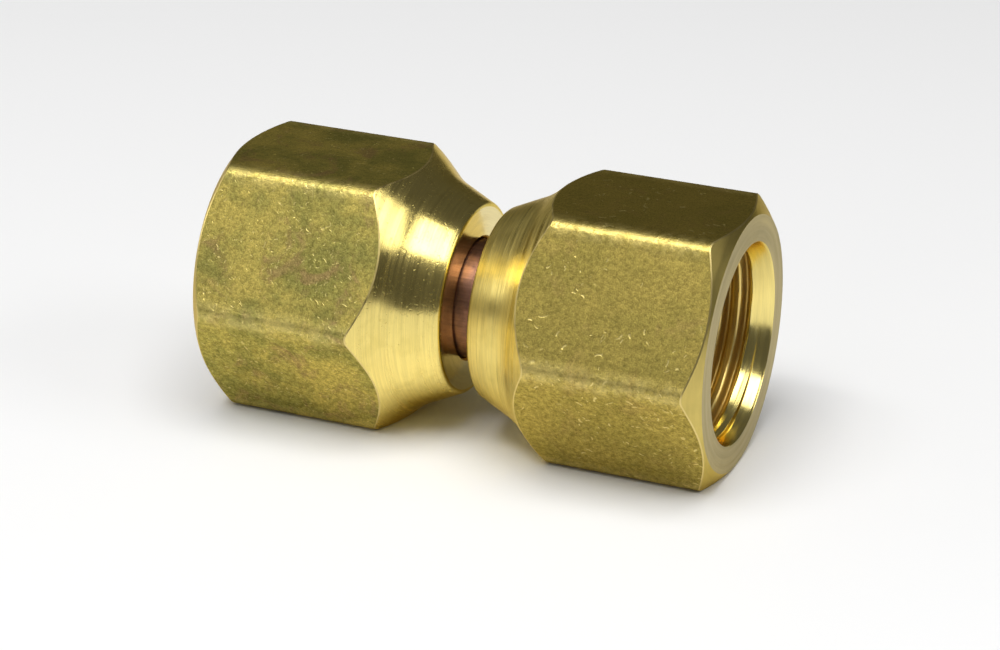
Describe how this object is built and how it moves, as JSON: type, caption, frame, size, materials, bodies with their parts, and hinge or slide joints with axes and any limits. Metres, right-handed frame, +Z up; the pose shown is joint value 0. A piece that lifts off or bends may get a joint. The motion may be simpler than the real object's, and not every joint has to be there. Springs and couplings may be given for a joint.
{
  "type": "flare swivel union",
  "caption": "Brass flare swivel union: hexagonal flare nuts with internal threads, turned shoulders and necks, held captive on a short copper tube flared at both ends.",
  "frame": {"origin": "on the tube's axis, half way between the nuts' neck faces", "axes": "+X along the tube's axis towards the right nut's mouth, +Z up, with a flat of each hexagon facing down"},
  "size_m": [0.042, 0.0234, 0.0206],
  "materials": {
    "left_brass": "tumbled and lightly tarnished, turned shoulder and polished end face",
    "right_brass": "satin hexagon, finely turned shoulder, mouth and thread",
    "copper": "dull drawn copper"
  },
  "bodies": {
    "tube": {"flared_tube": "copper"},
    "left_nut": {"left_nut": "left_brass"},
    "right_nut": {"right_nut": "right_brass"}
  },
  "joints": [
    {"name": "right_nut_swivel", "type": "hinge", "parent": "tube", "child": "right_nut", "pos_m": [0.011, 0, 0], "axis": [1, 0, 0], "continuous": true},
    {"name": "left_nut_swivel", "type": "hinge", "parent": "tube", "child": "left_nut", "pos_m": [-0.011, 0, 0], "axis": [1, 0, 0], "continuous": true}
  ]
}
